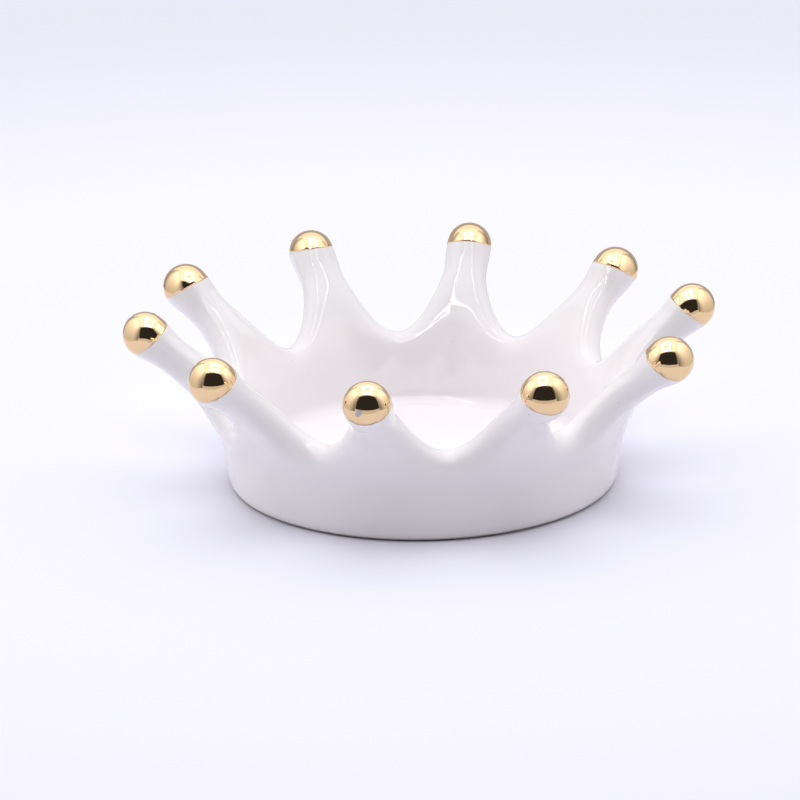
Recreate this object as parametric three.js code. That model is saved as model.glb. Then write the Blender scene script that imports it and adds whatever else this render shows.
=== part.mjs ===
// A crown-shaped brush rest in glazed porcelain. A slip-cast dish rises into points that lean
// outward, and the ball at the end of each point is gilded. Brushes lie in the notches between
// the points. Millimetres, +Z up, with the origin on the table at the centre of the foot.

import * as THREE from "three";
import { ParametricGeometry } from "three/addons/geometries/ParametricGeometry.js";
import { mergeGeometries, mergeVertices } from "three/addons/utils/BufferGeometryUtils.js";

// Dish
const FOOT_RADIUS = 35.4; // outside of the wall, carried down to the table
const FOOT_EDGE = 2.0; // rounding where the wall meets the table
const FOOT_RING_WIDTH = 4.5; // flat unglazed ring that stands on the table
const FOOT_RECESS = 1.7; // hollow under the floor, inside the ring
const FLOOR_LEVEL = 4.4; // upper face of the floor above the table
const FLOOR_FILLET = 3.0; // inside corner between floor and wall
const WALL_THICKNESS = 5.6;
const WALL_DRAFT = THREE.MathUtils.degToRad(9); // outward lean of the wall from upright

// Points
const POINT_COUNT = 10;
const TIP_CIRCLE_RADIUS = 50; // through the ball centres
const TIP_HEIGHT = 30.1; // ball centres above the table
const POINT_RISE = THREE.MathUtils.degToRad(41); // slope of a point above the horizontal
const BEND_RADIUS = 28; // middle of the wall where it turns outward into a point
const BALL_RADIUS = 4.4;
const NECK_DROP = 6.2; // from ball centre down the point to its narrowest place
const NECK_WIDTH = 8.3; // across the point
const NECK_DEPTH = 6.5; // through the point
const NOTCH_REACH = 17.3; // bottom of a notch, measured up the wall from the table
const NECK_PULL = 3.2; // how far down the point its flank stays straight
const NOTCH_PULL = 4.0; // how far along the lip the bottom of a notch stays level
const LIP_ROUND = 5.0; // how far down the wall the rounding of its lip runs

// Gilding
const GILT_LINE_DROP = 0.7; // edge of the gold below the ball centre
const GILT_TILT = THREE.MathUtils.degToRad(13); // the gold line leans towards level by this
const GILT_THICKNESS = 0.4; // a fired film, drawn thick enough to be a solid
const GILT_CLEARANCE = 0.3; // between the gold and the porcelain under it

// Fineness of the surfaces
const BALL_RINGS = 5; // from tip to gold line
const SHANK_RINGS = 4; // from gold line to neck
const CREST_RINGS = 5; // from neck down the middle of a point
const NOTCH_RINGS = 3; // from there along the wall to the middle of a notch
const QUARTER_STEPS = 4; // in a quarter of a ring
const ARC_STEPS = 3; // in a fillet
const WELD = 1e-4; // neighbouring surfaces share vertices on this grid

const UP = new THREE.Vector3(0, 0, 1);
const ALONG_RIM = new THREE.Vector3(0, 1, 0);
const BALL_CENTRE = new THREE.Vector3(TIP_CIRCLE_RADIUS, 0, TIP_HEIGHT);
const PITCH = (2 * Math.PI) / POINT_COUNT;
const HALF_WALL = WALL_THICKNESS / 2;
const vec = (x, y) => new THREE.Vector2(x, y);

const porcelain = new THREE.MeshStandardMaterial({ color: 0xf4f2f4, roughness: 0.1, metalness: 0 });
const gold = new THREE.MeshStandardMaterial({ color: 0xd8b074, roughness: 0.12, metalness: 1 });

// Middle of the wall in the plane of a point: up the wall, round the bend and out to the tip.
// Both straight runs are tangent to the bend.
function makeMeridian() {
  const foot = vec(FOOT_RADIUS - HALF_WALL / Math.cos(WALL_DRAFT), 0);
  const wallWay = vec(Math.sin(WALL_DRAFT), Math.cos(WALL_DRAFT));
  const pointWay = vec(Math.cos(POINT_RISE), Math.sin(POINT_RISE));
  const ball = vec(TIP_CIRCLE_RADIUS, TIP_HEIGHT);
  const toCorner = ball.clone().sub(foot).cross(pointWay) / wallWay.cross(pointWay);
  const turn = Math.PI / 2 - WALL_DRAFT - POINT_RISE;
  const bendStart = foot.clone().addScaledVector(wallWay, toCorner - BEND_RADIUS * Math.tan(turn / 2));
  const centre = bendStart.clone().addScaledVector(vec(wallWay.y, -wallWay.x), BEND_RADIUS);
  const tip = ball.clone().addScaledVector(pointWay, BALL_RADIUS);
  const path = new THREE.Path();
  path.moveTo(foot.x, foot.y);
  path.lineTo(bendStart.x, bendStart.y);
  path.absarc(centre.x, centre.y, BEND_RADIUS, Math.PI - WALL_DRAFT, Math.PI / 2 + POINT_RISE, true);
  path.lineTo(tip.x, tip.y);
  return path;
}

const meridian = makeMeridian();
const ballReach = meridian.getLength() - BALL_RADIUS;

// A place on the wall's middle at a distance up it from the table, moved out through the wall.
function wallAt(reach, out = 0) {
  const share = reach / meridian.getLength();
  const way = meridian.getTangent(share);
  return meridian.getPoint(share).addScaledVector(vec(way.y, -way.x), out);
}

// The wall is plain up to the shoulder. Above it the points and the notches take shape.
const filletReach = (FLOOR_LEVEL + FLOOR_FILLET) / Math.cos(WALL_DRAFT);
const shoulderReach = THREE.MathUtils.lerp(filletReach, NOTCH_REACH, 1 / 3);

// A place on the outline of a ball about the tip centre, at an angle from the tip.
function onBall(radius, angle) {
  return vec(radius * Math.sin(angle), ballReach + radius * Math.cos(angle));
}

// The angle from the tip at which the gold line crosses such a ball.
function giltAngle(radius) {
  return Math.acos(-GILT_LINE_DROP / radius);
}

// Outline from the gold line on the ball to the neck, leaving the ball along its own slope.
function shank(neckHalf) {
  const neckReach = ballReach - NECK_DROP;
  const angle = giltAngle(BALL_RADIUS);
  const start = onBall(BALL_RADIUS, angle);
  const pull = (start.y - neckReach) / 3;
  const leave = start.clone().addScaledVector(vec(Math.cos(angle), -Math.sin(angle)), pull);
  return new THREE.CubicBezierCurve(start, leave, vec(neckHalf, neckReach + pull), vec(neckHalf, neckReach));
}

// Cross rings of one point, from the tip down to the middle of a notch. Each ring runs from the
// outline seen from the front, as a width and a reach, to the crest seen from the side, as half a
// thickness and a reach. Lip is how far it takes to round from one to the other, tilt is how far
// the ring leans with the gold line, and wrap is how far it follows the round of the dish.
function makeRings() {
  const neckReach = ballReach - NECK_DROP;
  const notchHalf = (wallAt(NOTCH_REACH).x * PITCH) / 2;
  const flank = new THREE.CubicBezierCurve(
    vec(NECK_WIDTH / 2, neckReach),
    vec(NECK_WIDTH / 2, neckReach - NECK_PULL),
    vec(notchHalf - NOTCH_PULL, NOTCH_REACH),
    vec(notchHalf, NOTCH_REACH),
  );
  const crestPull = (neckReach - shoulderReach) / 2;
  const crest = new THREE.CubicBezierCurve(
    vec(NECK_DEPTH / 2, neckReach),
    vec(NECK_DEPTH / 2, neckReach - crestPull),
    vec(HALF_WALL, shoulderReach + crestPull),
    vec(HALF_WALL, shoulderReach),
  );
  const frontShank = shank(NECK_WIDTH / 2);
  const sideShank = shank(NECK_DEPTH / 2);
  const coreRadius = BALL_RADIUS - GILT_THICKNESS - GILT_CLEARANCE;
  const crestShare = CREST_RINGS / (CREST_RINGS + NOTCH_RINGS);
  const rings = [];
  const onPoint = { tilt: 0, wrap: 0, turn: 0 };
  for (let i = 0; i <= BALL_RINGS; i++) {
    const core = onBall(coreRadius, (giltAngle(coreRadius) * i) / BALL_RINGS);
    rings.push({ ...onPoint, front: core, side: core, lip: core.x, tilt: GILT_TILT });
  }
  for (let i = 0; i <= SHANK_RINGS; i++) {
    const share = i / SHANK_RINGS;
    const side = sideShank.getPoint(share);
    const tilt = GILT_TILT * (1 - share) ** 2;
    rings.push({ ...onPoint, front: frontShank.getPoint(share), side, lip: side.x, tilt });
  }
  for (let i = 1; i <= CREST_RINGS; i++) {
    const wrap = i / CREST_RINGS;
    const front = flank.getPoint(wrap * crestShare);
    const lip = THREE.MathUtils.lerp(NECK_DEPTH / 2, LIP_ROUND, wrap);
    rings.push({ ...onPoint, front, side: crest.getPoint(wrap), lip, wrap });
  }
  for (let i = 1; i <= NOTCH_RINGS; i++) {
    const share = i / NOTCH_RINGS;
    const front = flank.getPoint(THREE.MathUtils.lerp(crestShare, 1, share));
    const turn = (share * PITCH) / 2;
    rings.push({ ...onPoint, front, side: crest.v3, lip: LIP_ROUND, wrap: 1, turn });
  }
  return rings;
}

const rings = makeRings();

function weld(target) {
  return target.divideScalar(WELD).round().multiplyScalar(WELD);
}

// A place on a point's skin. Round runs from 0 on the outline to 1 on the crest. The section is a
// circle on the ball, an oval on the neck and a rounded lip on the wall.
function skinPoint({ front, side, lip, tilt, wrap, turn }, round, hand, face, target) {
  const frontWall = wallAt(front.y);
  const span = Math.hypot(front.x - turn * frontWall.x, front.y - side.y);
  const lipShare = span > 0 ? Math.min(1, lip / span) : 1;
  const inset = 1 - Math.sin(((1 - round) * Math.PI) / 2) ** lipShare;
  const out = face * side.x * Math.sin((round * Math.PI) / 2);
  const place = wallAt(THREE.MathUtils.lerp(front.y, side.y, inset), out);
  const angle = hand * THREE.MathUtils.lerp(front.x / frontWall.x, turn, inset);
  const wrapped = new THREE.Vector3(place.x * Math.cos(angle), place.x * Math.sin(angle), place.y);
  target.set(place.x, hand * front.x * (1 - inset), place.y).lerp(wrapped, wrap);
  return target.sub(BALL_CENTRE).applyAxisAngle(ALONG_RIM, -tilt).add(BALL_CENTRE);
}

// A quarter of a point's skin: one side of its middle, on its outer or its inner face.
function pointQuarter(index, hand, face) {
  const last = rings.length - 1;
  const facesBack = hand * face > 0;
  const place = (u, v, target) => {
    const ring = rings[Math.round((facesBack ? 1 - u : u) * last)];
    weld(skinPoint(ring, v, hand, face, target).applyAxisAngle(UP, index * PITCH));
  };
  return new ParametricGeometry(place, last, QUARTER_STEPS);
}

// A profile turned about the dish's axis, with a vertex under each ring that ends on the shoulder.
function revolved(profile) {
  const sectors = 2 * NOTCH_RINGS * POINT_COUNT;
  const place = (u, v, target) => {
    const { x, y } = profile[Math.round(v * (profile.length - 1))];
    const angle = ((Math.round(u * sectors) % sectors) * 2 * Math.PI) / sectors;
    weld(target.set(x * Math.cos(angle), x * Math.sin(angle), y));
  };
  return new ParametricGeometry(place, sectors, profile.length - 1);
}

// Underside, foot ring and outer wall, from the axis to the shoulder.
function footProfile() {
  const edgeRadius = FOOT_RADIUS + FOOT_EDGE * (Math.tan(WALL_DRAFT) - 1 / Math.cos(WALL_DRAFT));
  const ringInner = edgeRadius - FOOT_RING_WIDTH;
  const top = wallAt(shoulderReach, HALF_WALL);
  const path = new THREE.Path();
  path.moveTo(0, FOOT_RECESS);
  path.lineTo(ringInner - FOOT_RECESS, FOOT_RECESS);
  path.lineTo(ringInner, 0);
  path.lineTo(edgeRadius, 0);
  path.absarc(edgeRadius, FOOT_EDGE, FOOT_EDGE, -Math.PI / 2, -WALL_DRAFT, false);
  path.lineTo(top.x, top.y);
  return profilePoints(path, ARC_STEPS);
}

// Inner wall, fillet and floor, from the shoulder to the axis.
function floorProfile() {
  const top = wallAt(shoulderReach, -HALF_WALL);
  const footInside = FOOT_RADIUS - WALL_THICKNESS / Math.cos(WALL_DRAFT);
  const height = FLOOR_LEVEL + FLOOR_FILLET;
  const radius = footInside + height * Math.tan(WALL_DRAFT) - FLOOR_FILLET / Math.cos(WALL_DRAFT);
  const path = new THREE.Path();
  path.moveTo(top.x, top.y);
  path.lineTo(radius + FLOOR_FILLET * Math.cos(WALL_DRAFT), height - FLOOR_FILLET * Math.sin(WALL_DRAFT));
  path.absarc(radius, height, FLOOR_FILLET, -WALL_DRAFT, -Math.PI / 2, true);
  path.lineTo(0, FLOOR_LEVEL);
  return profilePoints(path, ARC_STEPS);
}

// A path's corners and the steps of its arcs, without points that only rounding tells apart.
// A path gives an arc twice the divisions that it is asked for.
function profilePoints(path, arcSteps) {
  const points = path.getPoints(arcSteps / 2);
  return points.filter((point, i) => i === 0 || point.distanceTo(points[i - 1]) > WELD);
}

// All skins as one closed surface. Triangles that shrank to nothing on the axis and tips go.
function makeCrown() {
  const skins = [revolved(footProfile()), revolved(floorProfile())];
  for (let index = 0; index < POINT_COUNT; index++) {
    for (const hand of [1, -1]) {
      skins.push(pointQuarter(index, hand, 1), pointQuarter(index, hand, -1));
    }
  }
  const joined = mergeGeometries(skins);
  joined.deleteAttribute("normal");
  joined.deleteAttribute("uv");
  const crown = mergeVertices(joined, WELD);
  const corners = crown.index.array;
  const kept = [];
  for (let i = 0; i < corners.length; i += 3) {
    const triangle = corners.slice(i, i + 3);
    if (new Set(triangle).size === 3) {
      kept.push(...triangle);
    }
  }
  crown.setIndex(kept);
  crown.computeVertexNormals();
  return crown;
}

// The gold on one ball: a hollow cap that ends at the gold line, with its axis along +Z.
function makeGiltTip() {
  const rim = GILT_CLEARANCE - GILT_LINE_DROP;
  const inner = BALL_RADIUS - GILT_THICKNESS;
  const path = new THREE.Path();
  path.absarc(0, 0, inner, Math.PI / 2, Math.asin(rim / inner), true);
  path.absarc(0, 0, BALL_RADIUS, Math.asin(rim / BALL_RADIUS), Math.PI / 2, false);
  const profile = profilePoints(path, BALL_RINGS);
  return new THREE.LatheGeometry(profile, 4 * QUARTER_STEPS).rotateX(Math.PI / 2);
}

const brushRest = new THREE.Group();
const crownDish = new THREE.Mesh(makeCrown(), porcelain);
crownDish.name = "crown_dish";
brushRest.add(crownDish);

for (let index = 0; index < POINT_COUNT; index++) {
  const tip = new THREE.Mesh(makeGiltTip(), gold);
  tip.name = "gilt_tip_" + String(index + 1).padStart(2, "0");
  tip.position.copy(BALL_CENTRE);
  tip.rotation.y = Math.PI / 2 - POINT_RISE - GILT_TILT;
  const point = new THREE.Group();
  point.rotation.z = index * PITCH;
  point.add(tip);
  brushRest.add(point);
}

export default brushRest;
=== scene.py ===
"""Crown brush rest: a porcelain dish whose wall rises into ten points with gilded ball tips."""

import math
from collections import namedtuple

import bpy
from mathutils import Matrix, Vector
from mathutils.geometry import interpolate_bezier


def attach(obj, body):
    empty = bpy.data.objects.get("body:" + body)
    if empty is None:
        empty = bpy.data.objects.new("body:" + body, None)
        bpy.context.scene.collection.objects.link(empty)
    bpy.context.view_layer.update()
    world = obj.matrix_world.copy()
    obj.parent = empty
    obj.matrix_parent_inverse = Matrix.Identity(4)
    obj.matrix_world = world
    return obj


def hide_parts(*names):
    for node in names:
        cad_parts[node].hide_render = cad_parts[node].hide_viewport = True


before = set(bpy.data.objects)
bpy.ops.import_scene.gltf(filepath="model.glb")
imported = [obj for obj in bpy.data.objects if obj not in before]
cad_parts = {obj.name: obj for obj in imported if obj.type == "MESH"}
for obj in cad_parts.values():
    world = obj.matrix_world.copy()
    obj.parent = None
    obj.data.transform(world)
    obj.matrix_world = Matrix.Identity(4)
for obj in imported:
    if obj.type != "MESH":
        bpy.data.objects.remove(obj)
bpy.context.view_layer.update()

bl_info = {
    "name": "Crown Brush Rest",
    "version": (1, 0, 0),
    "blender": (4, 5, 0),
    "location": "View3D > Sidebar > Brush Rest",
    "description": "Models a porcelain crown dish with gilded points, on a pale table",
    "category": "Object",
}

MM = 0.001
TIP_NODES = sorted(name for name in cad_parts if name.startswith("gilt_tip"))
POINT_COUNT = len(TIP_NODES)
PITCH = 2 * math.pi / POINT_COUNT

# Rows of faces on a point before smoothing, from the tip down to the middle of a notch
BALL_ROWS = 7
SHANK_ROWS = 5
CREST_ROWS = 11
NOTCH_ROWS = 6
QUARTER_COLUMNS = 8
SMOOTHING_LEVELS = 1
EASE_ROUNDS = 6
EASE_SHARE = 0.5
MERGE_DISTANCE = 0.002 * MM
SKIN_REACH = 7 * MM

# Rows of faces on the turned dish, from the middle of its underside round to the middle of its floor
RECESS_ROWS = 8
SLOPE_ROWS = 4
RING_ROWS = 6
EDGE_ROWS = 5
OUTER_ROWS = 10
INNER_ROWS = 4
FILLET_ROWS = 6
FLOOR_ROWS = 8
FLOOR_EDGE_SHARE = 0.8

# How hand finishing leaves each point, from the one on +X onward: the shift of its tip along the
# rim and upward in mm, the swell of its ball, and its gold line's tilt in degrees and drop in mm
Hand = namedtuple("Hand", "side lift swell gilt_rise gilt_drop")
HAND_FINISH = (
    Hand(0.0, 0.0, 0.98, 50, 1.2),
    Hand(-0.4, -1.0, 1.01, 57, 0.4),
    Hand(0.0, 0.0, 0.98, 60, 0.5),
    Hand(-0.4, 0.0, 0.98, 72, -0.5),
    Hand(0.0, -0.2, 1.0, 58, 0.45),
    Hand(0.0, 0.0, 0.96, 50, 1.15),
    Hand(0.3, -0.1, 0.99, 54, 0.7),
    Hand(0.2, 0.0, 0.99, 58, 0.2),
    Hand(0.0, 0.0, 1.0, 58, 0.2),
    Hand(0.0, -0.7, 1.01, 51, 1.0),
)

# Grain and gloss of the porcelain. Inside the first radius the glaze pools and its white is painted
# paler, as light falling into the dish, and it is plain past the second. The foot is unglazed and painted
# grey below the first height, as shade at the contact line, and glazed above the second.
POOL_LIGHT_REACH = (30 * MM, 37 * MM)
CLOUD_SIZE = 28 * MM
RIPPLE_SIZE = 7 * MM
RIPPLE_DEPTH = 0.04 * MM
SPECK_SPACING = 7 * MM
SPECK_RADIUS = 0.17 * MM
SPECK_SHARE = 0.8
BARE_SHADE_HEIGHT = (0.48 * MM, 0.8 * MM)
BARE_ROUGHNESS = 0.75
GLAZE_ROUGHNESS = (0.015, 0.045)
GLAZE_IOR = 1.52

# Grain and gloss of the gold
LUSTRE_SIZE = 5 * MM
LUSTRE_ROUGHNESS = (0.03, 0.08)
PEEL_SIZE = 0.9 * MM
PEEL_DEPTH = 0.004 * MM

# A worn spot in the gold, named by the tip that it is on and its direction from the ball centre.
# Its edge wavers by the ragged length, and the gold is whole past the second edge.
WORN_NODE = "gilt_tip_08"
WORN_TURN = math.radians(243)
WORN_RISE = math.radians(-1)
WORN_RAGGED = 0.9 * MM
WORN_EDGE = (0.96 * MM, 1.08 * MM)
WORN_ROUGHNESS = 0.4

# Light, where a level of 1 shows a white surface as white. Each blend is a range of the sky's
# direction, along the view for the front and the back and upward for the top.
LIGHT_COLOUR = "FCFBFF"
BACKGROUND_COLOUR = "F6F6FE"
FRONT_LEVEL = 0.03
FRONT_BLEND = (-0.75, -0.3)
BACK_LEVEL = 1.0
BACK_BLEND = (0.3, 0.75)
SIDE_LEVEL = 1.13
SIDE_SLOPE = -0.07
TOP_LEVEL = 2.45
TOP_BLEND = (0.84, 0.96)
TOP_TILT = math.radians(8)

# Table, painted brightest round a place behind the dish and darker away from it, as light falling off
TABLE_RADIUS = 4
TABLE_SIDES = 96
TABLE_ROUGHNESS = 0.9
TABLE_MIDDLE = 60 * MM
TABLE_BRIGHT_REACH = 120 * MM
TABLE_DIM_REACH = 330 * MM
TABLE_DIM_SHARE = 0.863

# A mirrored card's glow: its level, the share of it left at its two ends, where the fall to the
# ends starts as a share of its length, and the share left at its foot. A drop is how far a card
# hangs below the ceiling. A card is a unit square before it is sized, and its edge is half of that.
Glow = namedtuple("Glow", "level ends start foot")
CARD_EDGE = 0.5
CEILING_HEIGHT = 190 * MM
CEILING_SIZE = (240 * MM, 230 * MM)
CEILING_PLACE = 5 * MM
CEILING_GLOW = Glow(1.6, 1, 0, 1)
PANEL_SIZE = (98 * MM, 142 * MM)
PANEL_PLACE = -27 * MM
PANEL_DROP = 2 * MM
PANEL_GLOW = Glow(2.2, 1, 0, 1)
SEAM_WIDTH = 8 * MM
SEAM_DROP = 3 * MM
SEAM_GLOW = Glow(0.7, 1, 0, 1)
HOLE_SIZE = (34 * MM, 22 * MM)
HOLE_DROP = 4 * MM
HOLE_GLOW = Glow(1.2, 1, 0, 1)
STRIP_WIDTH = 3.5 * MM
STRIP_DROP = 5 * MM
STRIP_GLOW = Glow(18.0, 1, 0, 1)
WALL_PLACE = 125 * MM
WALL_GLOW = Glow(2.2, 0.3, 0.15, 0.35)
BACK_HEIGHT = 97 * MM
BACK_GLOW = Glow(0.55, 1, 0, 1)
BACK_TOP_GLOW = Glow(1.3, 1, 0, 1)
SILL_HEIGHT = 23 * MM
SILL_GLOW = Glow(0.74, 1, 0, 1)
OPENING_GLOW = Glow(0.03, 14, 0.4, 1)

# Camera, from the photo's ball centres and foot
CAMERA_SENSOR = 36
CAMERA_LENS = 195.3
CAMERA_DISTANCE = 797 * MM
CAMERA_ELEVATION = math.radians(19.15)
CAMERA_AZIMUTH = math.radians(-6.95)
CAMERA_ROLL = math.radians(-1.0)
CAMERA_AIM = (-4.03 * MM, 4.65 * MM, 13.4 * MM)

# Sockets of a colour mix node
FACTOR, FIRST, SECOND, MIXED = 0, 6, 7, 2


def length(name, description, size):
    """A size in millimetres as a length that the sidebar shows."""
    return bpy.props.FloatProperty(
        name=name, description=description, default=size * MM, min=0, precision=5, unit="LENGTH"
    )


def angle(name, description, degrees):
    """An angle in degrees as one that the sidebar shows."""
    return bpy.props.FloatProperty(
        name=name, description=description, default=math.radians(degrees), subtype="ANGLE"
    )


def linear(hex_colour):
    """An sRGB hex colour as linear red, green and blue."""
    channels = [int(hex_colour[i : i + 2], 16) / 255 for i in (0, 2, 4)]
    return [c / 12.92 if c <= 0.04045 else ((c + 0.055) / 1.055) ** 2.4 for c in channels]


def colour(name, description, hex_colour):
    """An sRGB hex colour as one that the sidebar shows."""
    return bpy.props.FloatVectorProperty(
        name=name, description=description, default=linear(hex_colour), min=0, max=1, subtype="COLOR"
    )


class DishSizes(bpy.types.PropertyGroup):
    """Sizes of the dish below its points"""

    foot_radius: length("Foot radius", "Outside of the wall, carried down to the table", 35.4)
    foot_edge: length("Foot edge", "Rounding where the wall meets the table", 2.0)
    ring_width: length("Ring width", "Flat ring that stands on the table", 4.5)
    recess: length("Recess", "Hollow under the floor, inside the ring", 1.7)
    floor_level: length("Floor level", "Upper face of the floor above the table", 4.4)
    floor_fillet: length("Floor fillet", "Inside corner between floor and wall", 3.0)
    thickness: length("Thickness", "Through the wall", 5.6)
    draft: angle("Draft", "Outward lean of the wall from upright", 9)


class PointSizes(bpy.types.PropertyGroup):
    """Sizes of a point, its ball and its gilding"""

    tip_radius: length("Tip circle", "Radius of the circle through the ball centres", 50)
    tip_height: length("Tip height", "Ball centres above the table", 30.1)
    rise: angle("Rise", "Slope of a point above the horizontal", 41)
    bend_radius: length("Bend", "Middle of the wall where it turns outward into a point", 28)
    ball_radius: length("Ball", "Radius of the porcelain ball under the gold", 4.32)
    neck_drop: length("Neck drop", "From the ball centre down to the narrowest place", 6.2)
    neck_width: length("Neck width", "Across a point at its narrowest place", 8.3)
    neck_depth: length("Neck depth", "Through a point at its narrowest place", 6.5)
    notch_reach: length("Notch", "Bottom of a notch, measured up the wall from the table", 17.3)
    neck_pull: length("Neck pull", "How far down the point its flank stays straight", 3.2)
    notch_pull: length("Notch pull", "How far along the lip the bottom of a notch stays level", 4.0)
    lip_round: length("Lip", "How far down the wall the rounding of its lip runs", 3.4)
    lip_swell: length("Lip swell", "How far the soft lip stands out on each face of the wall", 0.9)
    gilt_film: length("Gold film", "How far the gold stands on the porcelain", 0.03)


class FinishColours(bpy.types.PropertyGroup):
    """Colours of the finishes and the stage"""

    porcelain: colour("Porcelain", "Warm white body under the clear glaze", "F5F0EE")
    thick_glaze: colour("Thick glaze", "Cooler white where the glaze lies thicker", "F2F0F0")
    # Painted light: paler inside the dish, where light falls in and the glaze pools
    pooled_and_lit: colour("Pooled glaze", "Purer white where the glaze pools in the dish", "FBF6F7")
    # Painted shade: grey at the foot for the dark contact line, on the unglazed foot ring
    bisque_and_shade: colour("Bisque", "Bare fired clay on the foot ring", "B9B2AC")
    speck: colour("Specks", "Iron specks in the clay", "8A8078")
    gold: colour("Gold", "Thick parts of the gold lustre", "EFD2A6")
    thin_gold: colour("Thin gold", "Thin parts of the gold lustre", "E8C79A")
    worn: colour("Worn gold", "Grey glaze where the gold is rubbed away", "BDB7BD")
    table: colour("Table", "Pale lavender white table", "EEEEF8")


class BrushRestSettings(bpy.types.PropertyGroup):
    """All sizes and colours of the brush rest"""

    dish: bpy.props.PointerProperty(type=DishSizes)
    point: bpy.props.PointerProperty(type=PointSizes)
    colours: bpy.props.PointerProperty(type=FinishColours)


# Shape of the wall and its points

class Wall:
    """Middle of the wall in the plane of a point: up the dish, round the bend and out to the tip."""

    def __init__(self, dish, point):
        half = dish.thickness / 2
        self.draft = dish.draft
        self.radius = point.bend_radius
        self.foot = Vector((dish.foot_radius - half / math.cos(dish.draft), 0))
        ball = Vector((point.tip_radius, point.tip_height))
        up = self.way(dish.draft)
        out = self.way(math.pi / 2 - point.rise)
        turn = math.pi / 2 - dish.draft - point.rise
        to_corner = (ball - self.foot).cross(out) / up.cross(out)
        self.straight = to_corner - self.radius * math.tan(turn / 2)
        self.bend = self.radius * turn
        self.centre = self.foot + up * self.straight + self.outward(dish.draft) * self.radius
        bend_end = self.centre - self.outward(dish.draft + turn) * self.radius
        self.ball_reach = self.straight + self.bend + (ball - bend_end).length

    def way(self, lean):
        """Up the wall, where it leans outward by an angle."""
        return Vector((math.sin(lean), math.cos(lean)))

    def outward(self, lean):
        """Square out of the wall, where it leans outward by an angle."""
        return Vector((math.cos(lean), -math.sin(lean)))

    def at(self, reach, out=0.0):
        """Radius and height at a distance up the wall, moved out through it."""
        past = min(max(reach - self.straight, 0), self.bend)
        lean = self.draft + past / self.radius
        if reach <= self.straight:
            place = self.foot + self.way(lean) * reach
        else:
            beyond = max(reach - self.straight - self.bend, 0)
            place = self.centre - self.outward(lean) * self.radius + self.way(lean) * beyond
        return place + self.outward(lean) * out


# A ring runs from the outline seen from the front, as a width and a reach, to the crest seen from
# the side, as half a thickness and a reach. Wrap is how far it follows the round of the dish.
Ring = namedtuple("Ring", "width front_reach depth side_reach lip swell wrap turn")


def bezier(start, start_handle, end_handle, end, rows):
    """Places along a curve, one more than its rows."""
    places = [Vector(place) for place in (start, start_handle, end_handle, end)]
    return interpolate_bezier(*places, rows + 1)


def shoulder_reach(dish, point):
    """Height up the wall below which the dish is plain."""
    fillet_top = (dish.floor_level + dish.floor_fillet) / math.cos(dish.draft)
    return fillet_top + (point.notch_reach - fillet_top) / 3


def point_rings(dish, point, wall):
    """Cross rings of one point, from the tip down to the middle of a notch."""
    neck = wall.ball_reach - point.neck_drop
    shoulder = shoulder_reach(dish, point)
    half_wall = dish.thickness / 2
    half_width = point.neck_width / 2
    half_depth = point.neck_depth / 2
    notch_half = wall.at(point.notch_reach).x * PITCH / 2
    rings = []
    for row in range(BALL_ROWS + 1):
        turn = math.pi / 2 * row / BALL_ROWS
        width = point.ball_radius * math.sin(turn)
        reach = wall.ball_reach + point.ball_radius * math.cos(turn)
        rings.append(Ring(width, reach, width, reach, width, 0, 0, 0))

    middle = Vector((point.ball_radius, wall.ball_reach))
    pull = point.neck_drop / 2
    leave = middle - Vector((0, pull))
    front = bezier(middle, leave, (half_width, neck + pull), (half_width, neck), SHANK_ROWS)
    side = bezier(middle, leave, (half_depth, neck + pull), (half_depth, neck), SHANK_ROWS)
    for front_place, side_place in zip(front[1:], side[1:]):
        rings.append(Ring(*front_place, *side_place, side_place.x, 0, 0, 0))

    flank = bezier(
        (half_width, neck),
        (half_width, neck - point.neck_pull),
        (notch_half - point.notch_pull, point.notch_reach),
        (notch_half, point.notch_reach),
        CREST_ROWS + NOTCH_ROWS,
    )
    pull = (neck - shoulder) / 2
    crest = bezier(
        (half_depth, neck),
        (half_depth, neck - pull),
        (half_wall, shoulder + pull),
        (half_wall, shoulder),
        CREST_ROWS,
    )
    for row in range(1, CREST_ROWS + 1):
        wrap = row / CREST_ROWS
        lip = half_depth + (point.lip_round - half_depth) * wrap
        rings.append(Ring(*flank[row], *crest[row], lip, point.lip_swell * wrap, wrap, 0))
    for row in range(1, NOTCH_ROWS + 1):
        turn = PITCH / 2 * row / NOTCH_ROWS
        rings.append(
            Ring(*flank[CREST_ROWS + row], *crest[-1], point.lip_round, point.lip_swell, 1, turn)
        )
    return rings


def skin_place(wall, ring, share, face):
    """A place on a point's skin. Share runs from 0 on the outline to 1 on the crest. The section is
    a circle on the ball, an oval on the neck and a rounded lip on the wall."""
    front_radius = wall.at(ring.front_reach).x
    span = math.hypot(ring.width - ring.turn * front_radius, ring.front_reach - ring.side_reach)
    lip = min(1, ring.lip / span) if span else 1
    inset = share * share
    depth = ring.depth + ring.swell * (1 - smooth(inset, 0, 1))
    out = depth * math.sqrt(1 - (1 - inset) ** (2 / lip))
    reach = ring.front_reach + (ring.side_reach - ring.front_reach) * inset
    radius, height = wall.at(reach, face * out)
    turn = ring.width / front_radius * (1 - inset) + ring.turn * inset
    straight = Vector((radius, ring.width * (1 - inset), height))
    wrapped = Vector((radius * math.cos(turn), radius * math.sin(turn), height))
    return straight.lerp(wrapped, ring.wrap)


def smooth(value, low, high):
    """From 0 at the low value to 1 at the high one, easing in and out."""
    share = min(max((value - low) / (high - low), 0), 1)
    return share * share * (3 - 2 * share)


def even_centre(point, index):
    """Centre of a point's ball on the even crown."""
    return Matrix.Rotation(index * PITCH, 3, "Z") @ Vector((point.tip_radius, 0, point.tip_height))


def ball_centre(point, index):
    """Centre of a point's ball, with its own shift."""
    hand = HAND_FINISH[index]
    place = Vector((point.tip_radius, hand.side * MM, point.tip_height + hand.lift * MM))
    return Matrix.Rotation(index * PITCH, 3, "Z") @ place


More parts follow.
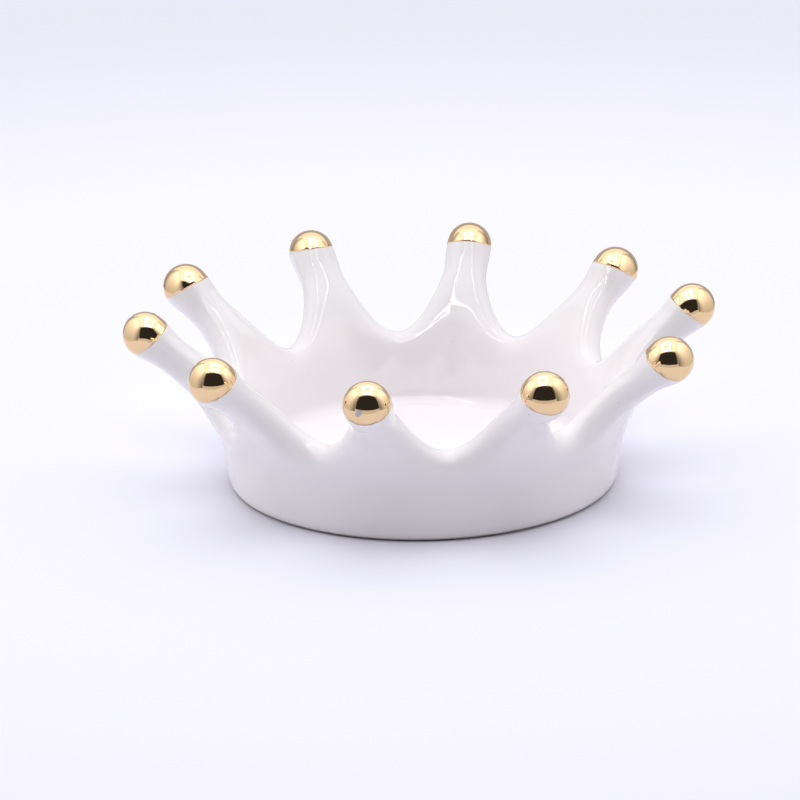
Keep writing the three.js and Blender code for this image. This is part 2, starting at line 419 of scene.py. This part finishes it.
def hand_finished(point, wall, place):
    """A place on the even crown, moved by the shift of its point's tip and the swell of its ball."""
    index = round(math.atan2(place.y, place.x) / PITCH) % POINT_COUNT
    hand = HAND_FINISH[index]
    even_ball = even_centre(point, index)
    way = Vector((math.cos(point.rise), 0, math.sin(point.rise)))
    axis = Matrix.Rotation(index * PITCH, 3, "Z") @ way
    from_ball = place - even_ball
    swell = (hand.swell - 1) * smooth(from_ball.dot(axis), -point.neck_drop, 0)
    shift = ball_centre(point, index) - even_ball
    notch_height = wall.at(point.notch_reach).y
    return place + from_ball * swell + shift * smooth(place.z, notch_height, point.tip_height)


def run(start, end, steps):
    """Evenly spaced places on a straight line, without its first."""
    return [Vector(start).lerp(Vector(end), step / steps) for step in range(1, steps + 1)]


def arc(centre, radius, start, end, steps):
    """Evenly spaced places on an arc, without its first."""
    angles = [start + (end - start) * step / steps for step in range(1, steps + 1)]
    return [Vector(centre) + radius * Vector((math.cos(a), math.sin(a))) for a in angles]


def foot_profile(dish, point, wall):
    """Underside, foot ring and outer wall, from the axis to the shoulder."""
    edge_lift = dish.foot_edge / math.cos(dish.draft) - dish.foot_edge * math.tan(dish.draft)
    edge_radius = dish.foot_radius - edge_lift
    ring_inner = edge_radius - dish.ring_width
    edge_reach = dish.foot_edge * (1 - math.sin(dish.draft)) / math.cos(dish.draft)
    shoulder = shoulder_reach(dish, point)
    profile = [Vector((0, dish.recess))]
    profile += run(profile[-1], (ring_inner - 2 * dish.recess, dish.recess), RECESS_ROWS)
    profile += run(profile[-1], (ring_inner - dish.recess, dish.recess), SLOPE_ROWS // 2)
    profile += run(profile[-1], (ring_inner, 0), SLOPE_ROWS)
    profile += run(profile[-1], (edge_radius, 0), RING_ROWS)
    profile += arc((edge_radius, dish.foot_edge), dish.foot_edge, -math.pi / 2, -dish.draft, EDGE_ROWS)
    for row in range(1, OUTER_ROWS + 1):
        reach = edge_reach + (shoulder - edge_reach) * row / OUTER_ROWS
        profile.append(wall.at(reach, dish.thickness / 2))
    return profile


def floor_profile(dish, point, wall):
    """Inner wall, fillet and floor, from the shoulder to the axis."""
    inner = -dish.thickness / 2
    shoulder = shoulder_reach(dish, point)
    corner_height = dish.floor_level + dish.floor_fillet
    corner_foot = dish.foot_radius - (dish.thickness + dish.floor_fillet) / math.cos(dish.draft)
    corner = Vector((corner_foot + corner_height * math.tan(dish.draft), corner_height))
    wall_end = corner + dish.floor_fillet * wall.outward(dish.draft)
    profile = [wall.at(shoulder, inner)]
    profile += run(profile[-1], wall_end, INNER_ROWS)
    profile += arc(corner, dish.floor_fillet, -dish.draft, -math.pi / 2, FILLET_ROWS)
    profile += run(profile[-1], (corner.x * FLOOR_EDGE_SHARE, dish.floor_level), FLOOR_ROWS // 2)
    profile += run(profile[-1], (0, dish.floor_level), FLOOR_ROWS)
    return profile


# Modelling steps

def start_fresh():
    """Leave edit mode and deselect everything, so that an operator acts on the new piece only."""
    if bpy.context.mode != "OBJECT":
        bpy.ops.object.mode_set(mode="OBJECT")
    bpy.ops.object.select_all(action="DESELECT")


def point_skin(wall, rings, face):
    """One side of a point's skin, on its outer or inner face, shaped from a grid."""
    rows = len(rings) - 1
    start_fresh()
    bpy.ops.mesh.primitive_grid_add(x_subdivisions=rows, y_subdivisions=QUARTER_COLUMNS, size=1)
    skin = bpy.context.object
    for vertex in skin.data.vertices:
        ring = rings[round((vertex.co.x + 0.5) * rows)]
        vertex.co = skin_place(wall, ring, vertex.co.y + 0.5, face)
    return skin


def turned(profile):
    """A profile drawn by extruding a vertex, then spun about the dish's axis."""
    start_fresh()
    bpy.ops.mesh.primitive_plane_add(size=1, location=(profile[0].x, 0, profile[0].y))
    bpy.ops.object.mode_set(mode="EDIT")
    bpy.ops.mesh.merge(type="CENTER")
    for start, end in zip(profile, profile[1:]):
        step = (end.x - start.x, 0, end.y - start.y)
        bpy.ops.mesh.extrude_region_move(TRANSFORM_OT_translate={"value": step})
    bpy.ops.mesh.select_all(action="SELECT")
    steps = 2 * NOTCH_ROWS * POINT_COUNT
    bpy.ops.mesh.spin(steps=steps, angle=2 * math.pi, center=(0, 0, 0), axis=(0, 0, 1))
    bpy.ops.object.mode_set(mode="OBJECT")
    bpy.ops.object.transform_apply(location=True, rotation=True, scale=True)
    return bpy.context.object


def joined(pieces, name):
    """The pieces as one object at the origin."""
    start_fresh()
    for piece in pieces:
        piece.select_set(True)
    bpy.context.view_layer.objects.active = pieces[0]
    bpy.ops.object.join()
    whole = bpy.context.object
    whole.name = name
    whole.data.name = name
    return whole


def finish_mesh(piece, *modifiers):
    """Apply each modifier, given as a kind and its settings, and smooth the shading."""
    start_fresh()
    piece.select_set(True)
    bpy.context.view_layer.objects.active = piece
    for kind, settings in modifiers:
        modifier = piece.modifiers.new(kind.title(), kind)
        for setting, value in settings.items():
            setattr(modifier, setting, value)
        bpy.ops.object.modifier_apply(modifier=modifier.name)
    bpy.ops.object.shade_smooth()


def dress(piece, material, node):
    """Give a piece its finish, hang it under the root, and hide the solid it stands for."""
    piece.data.materials.clear()
    piece.data.materials.append(material)
    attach(piece, "root")
    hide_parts(node)


# Materials

def add_node(tree, kind, links=None, **settings):
    """Add a node with its settings. Links give its inputs: a socket to join, or a constant."""
    made = tree.nodes.new(kind)
    for setting, value in settings.items():
        setattr(made, setting, value)
    for socket, value in (links or {}).items():
        if isinstance(value, bpy.types.NodeSocket):
            tree.links.new(value, made.inputs[socket])
        else:
            made.inputs[socket].default_value = value
    return made


def new_material(name):
    """An empty node material with its shader and object coordinates."""
    material = bpy.data.materials.new(name)
    material.use_nodes = True
    tree = material.node_tree
    tree.nodes.clear()
    output = add_node(tree, "ShaderNodeOutputMaterial")
    shader = add_node(tree, "ShaderNodeBsdfPrincipled")
    tree.links.new(shader.outputs["BSDF"], output.inputs["Surface"])
    place = add_node(tree, "ShaderNodeTexCoord").outputs["Object"]
    return material, tree, shader, place


def glazed_porcelain(colours):
    """Slip-cast porcelain dipped in clear glaze and fired. The glaze lies a little uneven, so the
    white drifts from warm to cool and the mirrored lamps waver. Inside the dish, where the glaze pools,
    the white is painted paler as light falling in. A few iron specks show, and the foot ring is wiped
    free of glaze, so it is matt, and painted grey as shade at the contact line."""
    material, tree, shader, place = new_material("glazed_porcelain")
    grain = {"Vector": place, "Scale": 1 / CLOUD_SIZE, "Detail": 2.0}
    clouds = add_node(tree, "ShaderNodeTexNoise", grain).outputs["Fac"]
    whites = {FACTOR: clouds, FIRST: (*colours.porcelain, 1), SECOND: (*colours.thick_glaze, 1)}
    shown = add_node(tree, "ShaderNodeMix", whites, data_type="RGBA").outputs[MIXED]

    # Painted light: the white is paler within a radius of the axis, inside the dish, where light falls in
    flat = add_node(tree, "ShaderNodeVectorMath", {0: place, 1: (1, 1, 0)}, operation="MULTIPLY")
    from_axis = add_node(tree, "ShaderNodeVectorMath", {0: flat.outputs[0]}, operation="LENGTH")
    reach = {"From Min": POOL_LIGHT_REACH[0], "From Max": POOL_LIGHT_REACH[1], "To Min": 1, "To Max": 0}
    pool_and_light = add_node(tree, "ShaderNodeMapRange", {"Value": from_axis.outputs["Value"], **reach}).outputs[0]
    pooled_and_lit = {FACTOR: pool_and_light, FIRST: shown, SECOND: (*colours.pooled_and_lit, 1)}
    shown = add_node(tree, "ShaderNodeMix", pooled_and_lit, data_type="RGBA").outputs[MIXED]

    cells = add_node(tree, "ShaderNodeTexVoronoi", {"Vector": place, "Scale": 1 / SPECK_SPACING})
    speck_reach = SPECK_RADIUS / SPECK_SPACING
    reach = {"From Min": speck_reach / 2, "From Max": speck_reach, "To Min": SPECK_SHARE, "To Max": 0}
    speck = add_node(tree, "ShaderNodeMapRange", {"Value": cells.outputs["Distance"], **reach}).outputs[0]
    specked = {FACTOR: speck, FIRST: shown, SECOND: (*colours.speck, 1)}
    shown = add_node(tree, "ShaderNodeMix", specked, data_type="RGBA").outputs[MIXED]

    # Painted shade: the foot is grey below a height, for the dark contact line, and matt where unglazed
    height = add_node(tree, "ShaderNodeSeparateXYZ", {"Vector": place}).outputs["Z"]
    reach = {"From Min": BARE_SHADE_HEIGHT[0], "From Max": BARE_SHADE_HEIGHT[1], "To Min": 1, "To Max": 0}
    bare_and_shade = add_node(tree, "ShaderNodeMapRange", {"Value": height, **reach}).outputs[0]
    foot_shaded = {FACTOR: bare_and_shade, FIRST: shown, SECOND: (*colours.bisque_and_shade, 1)}
    shown = add_node(tree, "ShaderNodeMix", foot_shaded, data_type="RGBA").outputs[MIXED]
    tree.links.new(shown, shader.inputs["Base Color"])

    gloss_range = {"Value": clouds, "To Min": GLAZE_ROUGHNESS[0], "To Max": GLAZE_ROUGHNESS[1]}
    gloss = add_node(tree, "ShaderNodeMapRange", gloss_range).outputs[0]
    glosses = {"Factor": bare_and_shade, "A": gloss, "B": BARE_ROUGHNESS}
    rough = add_node(tree, "ShaderNodeMix", glosses, data_type="FLOAT").outputs[0]
    tree.links.new(rough, shader.inputs["Roughness"])
    shader.inputs["IOR"].default_value = GLAZE_IOR

    grain = {"Vector": place, "Scale": 1 / RIPPLE_SIZE, "Detail": 1.0}
    ripple = add_node(tree, "ShaderNodeTexNoise", grain).outputs["Fac"]
    relief = {"Height": ripple, "Strength": 1.0, "Distance": RIPPLE_DEPTH}
    bump = add_node(tree, "ShaderNodeBump", relief).outputs["Normal"]
    tree.links.new(bump, shader.inputs["Normal"])
    return material


def gold_lustre(colours, worn_place):
    """Bright gold brushed over the glaze and fired: a film of a few microns that mirrors like
    polished metal. It is paler where it lies thick, faintly dimpled, and rubbed off at one spot."""
    material, tree, shader, place = new_material("gold_lustre")
    grain = {"Vector": place, "Scale": 1 / LUSTRE_SIZE, "Detail": 3.0}
    film = add_node(tree, "ShaderNodeTexNoise", grain).outputs["Fac"]
    golds = {FACTOR: film, FIRST: (*colours.gold, 1), SECOND: (*colours.thin_gold, 1)}
    gold = add_node(tree, "ShaderNodeMix", golds, data_type="RGBA").outputs[MIXED]

    grain = {"Vector": place, "Scale": 1 / PEEL_SIZE, "Detail": 1.0}
    peel = add_node(tree, "ShaderNodeTexNoise", grain).outputs["Fac"]
    away = add_node(tree, "ShaderNodeVectorMath", {0: place, 1: worn_place}, operation="DISTANCE")
    edge = {0: peel, 1: WORN_RAGGED, 2: away.outputs["Value"]}
    ragged = add_node(tree, "ShaderNodeMath", edge, operation="MULTIPLY_ADD").outputs[0]
    reach = {"From Min": WORN_EDGE[0], "From Max": WORN_EDGE[1], "To Min": 1, "To Max": 0}
    worn = add_node(tree, "ShaderNodeMapRange", {"Value": ragged, **reach}).outputs[0]
    rubbed = {FACTOR: worn, FIRST: gold, SECOND: (*colours.worn, 1)}
    shown = add_node(tree, "ShaderNodeMix", rubbed, data_type="RGBA").outputs[MIXED]
    tree.links.new(shown, shader.inputs["Base Color"])
    metal = add_node(tree, "ShaderNodeMath", {0: 1.0, 1: worn}, operation="SUBTRACT").outputs[0]
    tree.links.new(metal, shader.inputs["Metallic"])

    polish_range = {"Value": film, "To Min": LUSTRE_ROUGHNESS[0], "To Max": LUSTRE_ROUGHNESS[1]}
    polish = add_node(tree, "ShaderNodeMapRange", polish_range).outputs[0]
    glosses = {"Factor": worn, "A": polish, "B": WORN_ROUGHNESS}
    rough = add_node(tree, "ShaderNodeMix", glosses, data_type="FLOAT").outputs[0]
    tree.links.new(rough, shader.inputs["Roughness"])
    relief = {"Height": peel, "Strength": 1.0, "Distance": PEEL_DEPTH}
    bump = add_node(tree, "ShaderNodeBump", relief).outputs["Normal"]
    tree.links.new(bump, shader.inputs["Normal"])
    return material


class BRUSHREST_OT_crown_dish(bpy.types.Operator):
    """Model the porcelain dish and its points as one casting"""

    bl_idname = "brushrest.crown_dish"
    bl_label = "Porcelain Crown Dish"

    def execute(self, context):
        settings = context.scene.brush_rest
        dish, point = settings.dish, settings.point
        wall = Wall(dish, point)
        rings = point_rings(dish, point, wall)
        sector = joined([point_skin(wall, rings, 1), point_skin(wall, rings, -1)], "point_skin")
        bpy.ops.object.mode_set(mode="EDIT")
        bpy.ops.mesh.select_all(action="SELECT")
        bpy.ops.mesh.duplicate()
        bpy.ops.transform.resize(value=(1, -1, 1), center_override=(0, 0, 0))
        bpy.ops.mesh.select_all(action="SELECT")
        last_turn = 2 * math.pi - PITCH
        bpy.ops.mesh.spin(
            steps=POINT_COUNT - 1, angle=last_turn, dupli=True, center=(0, 0, 0), axis=(0, 0, 1)
        )
        bpy.ops.object.mode_set(mode="OBJECT")
        underside = turned(foot_profile(dish, point, wall))
        inside = turned(floor_profile(dish, point, wall))
        crown = joined([sector, underside, inside], "porcelain_crown_dish")
        bpy.ops.object.mode_set(mode="EDIT")
        bpy.ops.mesh.select_all(action="SELECT")
        bpy.ops.mesh.remove_doubles(threshold=MERGE_DISTANCE)
        bpy.ops.mesh.normals_make_consistent(inside=False)
        self.ease_points(crown, dish, point, wall)
        for vertex in crown.data.vertices:
            vertex.co = hand_finished(point, wall, vertex.co)
        levels = {"levels": SMOOTHING_LEVELS, "render_levels": SMOOTHING_LEVELS}
        finish_mesh(crown, ("SUBSURF", levels))
        dress(crown, glazed_porcelain(settings.colours), "crown_dish")
        return {"FINISHED"}

    def ease_points(self, crown, dish, point, wall):
        """Ease the points between their necks and the plain wall, as the glaze does."""
        bpy.ops.mesh.select_mode(type="VERT")
        bpy.ops.mesh.select_all(action="DESELECT")
        bpy.ops.object.mode_set(mode="OBJECT")
        low = wall.at(shoulder_reach(dish, point)).y
        balls = [even_centre(point, index) for index in range(POINT_COUNT)]
        for vertex in crown.data.vertices:
            nearest = min((vertex.co - ball).length for ball in balls)
            vertex.select = vertex.co.z > low and nearest > point.neck_drop
        bpy.ops.object.mode_set(mode="EDIT")
        bpy.ops.mesh.vertices_smooth(factor=EASE_SHARE, repeat=EASE_ROUNDS)
        bpy.ops.object.mode_set(mode="OBJECT")


class BRUSHREST_OT_gilt_tips(bpy.types.Operator):
    """Lay the gold on the ball of each point, down to its gold line"""

    bl_idname = "brushrest.gilt_tips"
    bl_label = "Gilded Tips"

    def execute(self, context):
        settings = context.scene.brush_rest
        point = settings.point
        centres = [ball_centre(point, index) for index in range(POINT_COUNT)]
        worn_way = Vector((math.cos(WORN_TURN), math.sin(WORN_TURN), math.tan(WORN_RISE))).normalized()
        worn_place = centres[TIP_NODES.index(WORN_NODE)] + worn_way * point.ball_radius
        gold = gold_lustre(settings.colours, worn_place)
        skin = self.skin_near(bpy.data.objects["porcelain_crown_dish"], centres)
        for index, node in enumerate(TIP_NODES):
            hand = HAND_FINISH[index]
            cap = self.skin_near(skin, centres[index : index + 1])
            cap.name = node.replace("gilt_tip", "gold_tip")
            cap.data.name = cap.name
            rise = math.radians(hand.gilt_rise)
            axis = Matrix.Rotation(index * PITCH, 3, "Z") @ Vector((math.cos(rise), 0, math.sin(rise)))
            line = centres[index] - axis * hand.gilt_drop * MM
            bpy.ops.object.mode_set(mode="EDIT")
            bpy.ops.mesh.select_all(action="SELECT")
            bpy.ops.mesh.bisect(plane_co=line, plane_no=axis, clear_inner=True)
            bpy.ops.object.mode_set(mode="OBJECT")
            finish_mesh(cap, ("SOLIDIFY", {"thickness": point.gilt_film, "offset": 1.0}))
            dress(cap, gold, node)
        bpy.data.objects.remove(skin)
        return {"FINISHED"}

    def skin_near(self, skin, centres):
        """A copy of the porcelain's own skin round the ball centres, so that the gold follows it."""
        start_fresh()
        skin.select_set(True)
        bpy.context.view_layer.objects.active = skin
        bpy.ops.object.duplicate()
        near = bpy.context.object
        bpy.ops.object.mode_set(mode="EDIT")
        bpy.ops.mesh.select_mode(type="VERT")
        bpy.ops.mesh.select_all(action="DESELECT")
        bpy.ops.object.mode_set(mode="OBJECT")
        for vertex in near.data.vertices:
            vertex.select = all((vertex.co - centre).length > SKIN_REACH for centre in centres)
        bpy.ops.object.mode_set(mode="EDIT")
        bpy.ops.mesh.delete(type="VERT")
        bpy.ops.object.mode_set(mode="OBJECT")
        return near


class BRUSHREST_OT_stage(bpy.types.Operator):
    """Set the pale table, the soft light and the camera"""

    bl_idname = "brushrest.stage"
    bl_label = "Table, Light and Camera"

    def execute(self, context):
        settings = context.scene.brush_rest
        self.table(settings.colours)
        self.light(context.scene)
        self.camera(context.scene)
        context.scene.view_settings.view_transform = "Standard"
        return {"FINISHED"}

    def table(self, colours):
        """A matt white table with a lavender tinge, painted darker far from the dish as light falling
        off.
        """
        start_fresh()
        bpy.ops.mesh.primitive_circle_add(vertices=TABLE_SIDES, radius=TABLE_RADIUS, fill_type="NGON")
        table = bpy.context.object
        table.name = "table"
        material, tree, shader, place = new_material("table_white")
        # Painted light fall-off: the colour is scaled down with distance from a place behind the dish
        middle = (0, TABLE_MIDDLE, 0)
        away = add_node(tree, "ShaderNodeVectorMath", {0: place, 1: middle}, operation="DISTANCE")
        dim = {"Value": away.outputs["Value"], "To Min": 1, "To Max": TABLE_DIM_SHARE}
        dim.update({"From Min": TABLE_BRIGHT_REACH, "From Max": TABLE_DIM_REACH})
        share = add_node(tree, "ShaderNodeMapRange", dim, interpolation_type="SMOOTHSTEP")
        scale = {0: tuple(colours.table), "Scale": share.outputs[0]}
        shade = add_node(tree, "ShaderNodeVectorMath", scale, operation="SCALE").outputs[0]
        tree.links.new(shade, shader.inputs["Base Color"])
        shader.inputs["Roughness"].default_value = TABLE_ROUGHNESS
        shader.inputs["Specular IOR Level"].default_value = 0.0
        table.data.materials.append(material)

    def light(self, scene):
        """A small light tent: pale walls, a bright top and an opening on the camera's side."""
        world = bpy.data.worlds.new("light_tent")
        scene.world = world
        world.use_nodes = True
        tree = world.node_tree
        tree.nodes.clear()
        turn = (0, 0, -CAMERA_AZIMUTH)
        sky = add_node(tree, "ShaderNodeTexCoord").outputs["Generated"]
        sky = add_node(tree, "ShaderNodeMapping", {"Vector": sky, "Rotation": turn}).outputs[0]
        axes = add_node(tree, "ShaderNodeSeparateXYZ", {"Vector": sky})
        front = {"Value": axes.outputs["Y"], "To Min": FRONT_LEVEL, "To Max": SIDE_LEVEL}
        front.update({"From Min": FRONT_BLEND[0], "From Max": FRONT_BLEND[1]})
        level = add_node(tree, "ShaderNodeMapRange", front, interpolation_type="SMOOTHSTEP").outputs[0]
        back = {"Value": axes.outputs["Y"], "To Min": 0.0, "To Max": BACK_LEVEL - SIDE_LEVEL}
        back.update({"From Min": BACK_BLEND[0], "From Max": BACK_BLEND[1]})
        behind = add_node(tree, "ShaderNodeMapRange", back, interpolation_type="SMOOTHSTEP").outputs[0]
        level = add_node(tree, "ShaderNodeMath", {0: level, 1: behind}).outputs[0]
        slope = {0: axes.outputs["X"], 1: SIDE_SLOPE, 2: level}
        level = add_node(tree, "ShaderNodeMath", slope, operation="MULTIPLY_ADD").outputs[0]
        lean = (0, -math.sin(TOP_TILT), math.cos(TOP_TILT))
        upward = add_node(tree, "ShaderNodeVectorMath", {0: sky, 1: lean}, operation="DOT_PRODUCT")
        top = {"Value": upward.outputs["Value"], "To Min": 0.0, "To Max": 1.0}
        top.update({"From Min": TOP_BLEND[0], "From Max": TOP_BLEND[1]})
        above = add_node(tree, "ShaderNodeMapRange", top, interpolation_type="SMOOTHSTEP").outputs[0]
        levels = {"Factor": above, "A": level, "B": TOP_LEVEL}
        level = add_node(tree, "ShaderNodeMix", levels, data_type="FLOAT").outputs[0]
        soft = {"Color": (*linear(LIGHT_COLOUR), 1), "Strength": level}
        tent = add_node(tree, "ShaderNodeBackground", soft).outputs[0]
        pale = {"Color": (*linear(BACKGROUND_COLOUR), 1), "Strength": 1.0}
        plain = add_node(tree, "ShaderNodeBackground", pale).outputs[0]
        path = add_node(tree, "ShaderNodeLightPath").outputs
        direct = {0: path["Is Camera Ray"], 1: path["Is Glossy Ray"]}
        seen = add_node(tree, "ShaderNodeMath", direct).outputs[0]
        through = {0: seen, 1: path["Is Transmission Ray"]}
        seen = add_node(tree, "ShaderNodeMath", through, use_clamp=True).outputs[0]
        mix = add_node(tree, "ShaderNodeMixShader", {0: seen, 1: tent, 2: plain}).outputs[0]
        add_node(tree, "ShaderNodeOutputWorld", {"Surface": mix})
        self.lamp()
        self.walls()

    def lamp(self):
        """The ceiling, with the lamp below it: a panel with dark seams, a hole and a bright rim."""
        panel = CEILING_HEIGHT - PANEL_DROP
        seam = CEILING_HEIGHT - SEAM_DROP
        hole = CEILING_HEIGHT - HOLE_DROP
        strip = CEILING_HEIGHT - STRIP_DROP
        self.card("ceiling", CEILING_SIZE, (0, CEILING_PLACE, CEILING_HEIGHT), CEILING_GLOW)
        self.card("lamp_panel", PANEL_SIZE, (0, PANEL_PLACE, panel), PANEL_GLOW)
        self.card("panel_hole", HOLE_SIZE, (0, PANEL_PLACE, hole), HOLE_GLOW)
        width, depth = PANEL_SIZE
        for side in (-1, 1):
            outside = side * (width + SEAM_WIDTH) / 2
            self.card("seam", (SEAM_WIDTH, depth), (outside, PANEL_PLACE, seam), SEAM_GLOW)
            along = side * (width - STRIP_WIDTH) / 2
            self.card("lamp_strip", (STRIP_WIDTH, depth), (along, PANEL_PLACE, strip), STRIP_GLOW)
            across = PANEL_PLACE + side * (depth - STRIP_WIDTH) / 2
            self.card("lamp_strip", (width, STRIP_WIDTH), (0, across, strip), STRIP_GLOW)

    def walls(self):
        """The tent's sides and back, and the dark opening above a sill on the camera's side."""
        for side in (-1, 1):
            self.wall_card("side_wall", side * math.pi / 2, (0, CEILING_HEIGHT), WALL_GLOW)
        self.wall_card("back_wall", math.pi, (0, BACK_HEIGHT), BACK_GLOW)
        self.wall_card("back_top", math.pi, (BACK_HEIGHT, CEILING_HEIGHT), BACK_TOP_GLOW)
        self.wall_card("sill", 0, (0, SILL_HEIGHT), SILL_GLOW)
        self.wall_card("opening", 0, (SILL_HEIGHT, CEILING_HEIGHT), OPENING_GLOW)

    def wall_card(self, name, turn, heights, glow):
        """An upright card between two heights, in front of the object before it is turned."""
        size = (2 * WALL_PLACE, heights[1] - heights[0])
        place = Matrix.Rotation(turn, 3, "Z") @ Vector((0, -WALL_PLACE, sum(heights) / 2))
        stand = Matrix.Rotation(turn, 4, "Z") @ Matrix.Rotation(math.pi / 2, 4, "X")
        self.card(name, size, place, glow, stand)

    def card(self, name, size, place, glow, stand=Matrix()):
        """A card that only shows in the gloss of the glaze and the gold."""
        start_fresh()
        bpy.ops.mesh.primitive_plane_add(size=2 * CARD_EDGE)
        card = bpy.context.object
        card.name = name
        turn = Matrix.Rotation(CAMERA_AZIMUTH, 4, "Z")
        card.matrix_world = turn @ Matrix.Translation(place) @ stand @ Matrix.Diagonal((*size, 1, 1))
        material = bpy.data.materials.new(name)
        material.use_nodes = True
        tree = material.node_tree
        tree.nodes.clear()
        place = add_node(tree, "ShaderNodeTexCoord").outputs["Object"]
        axes = add_node(tree, "ShaderNodeSeparateXYZ", {"Vector": place})
        end = add_node(tree, "ShaderNodeMath", {0: axes.outputs["X"]}, operation="ABSOLUTE").outputs[0]
        fall = {"Value": end, "To Min": glow.level, "To Max": glow.level * glow.ends}
        fall.update({"From Min": glow.start, "From Max": CARD_EDGE})
        level = add_node(tree, "ShaderNodeMapRange", fall, interpolation_type="SMOOTHSTEP").outputs[0]
        rise = {"Value": axes.outputs["Y"], "To Min": glow.foot, "To Max": 1.0}
        rise.update({"From Min": -CARD_EDGE, "From Max": CARD_EDGE})
        share = add_node(tree, "ShaderNodeMapRange", rise, interpolation_type="SMOOTHSTEP").outputs[0]
        level = add_node(tree, "ShaderNodeMath", {0: level, 1: share}, operation="MULTIPLY").outputs[0]
        shine = {"Color": (*linear(LIGHT_COLOUR), 1), "Strength": level}
        lamp = add_node(tree, "ShaderNodeEmission", shine)
        add_node(tree, "ShaderNodeOutputMaterial", {"Surface": lamp.outputs[0]})
        card.data.materials.append(material)
        card.visible_camera = False
        card.visible_diffuse = False
        card.visible_shadow = False

    def camera(self, scene):
        """The photo's view of the dish."""
        data = bpy.data.cameras.new("camera")
        data.sensor_width = CAMERA_SENSOR
        data.lens = CAMERA_LENS
        camera = bpy.data.objects.new("camera", data)
        scene.collection.objects.link(camera)
        view = Matrix.Rotation(CAMERA_AZIMUTH, 4, "Z")
        rise = Vector((0, -math.cos(CAMERA_ELEVATION), math.sin(CAMERA_ELEVATION)))
        place = view @ (rise * CAMERA_DISTANCE)
        aim = view @ Vector(CAMERA_AIM)
        turn = (aim - place).to_track_quat("-Z", "Y").to_matrix().to_4x4()
        camera.matrix_world = Matrix.Translation(place) @ turn @ Matrix.Rotation(CAMERA_ROLL, 4, "Z")
        scene.camera = camera


class VIEW3D_PT_brush_rest(bpy.types.Panel):
    """Sizes, colours and making of the brush rest"""

    bl_label = "Brush Rest"
    bl_space_type = "VIEW_3D"
    bl_region_type = "UI"
    bl_category = "Brush Rest"

    def draw(self, context):
        settings = context.scene.brush_rest
        for group in (settings.dish, settings.point, settings.colours):
            box = self.layout.box()
            for name in group.__annotations__:
                box.prop(group, name)
        for operator in OPERATORS:
            self.layout.operator(operator.bl_idname)


GROUPS = (DishSizes, PointSizes, FinishColours, BrushRestSettings)
OPERATORS = (BRUSHREST_OT_crown_dish, BRUSHREST_OT_gilt_tips, BRUSHREST_OT_stage)
CLASSES = (*GROUPS, *OPERATORS, VIEW3D_PT_brush_rest)


def register():
    for cls in CLASSES:
        bpy.utils.register_class(cls)
    bpy.types.Scene.brush_rest = bpy.props.PointerProperty(type=BrushRestSettings)


def unregister():
    del bpy.types.Scene.brush_rest
    for cls in reversed(CLASSES):
        bpy.utils.unregister_class(cls)


def main():
    register()
    bpy.ops.brushrest.crown_dish()
    bpy.ops.brushrest.gilt_tips()
    bpy.ops.brushrest.stage()


if __name__ == "__main__":
    main()
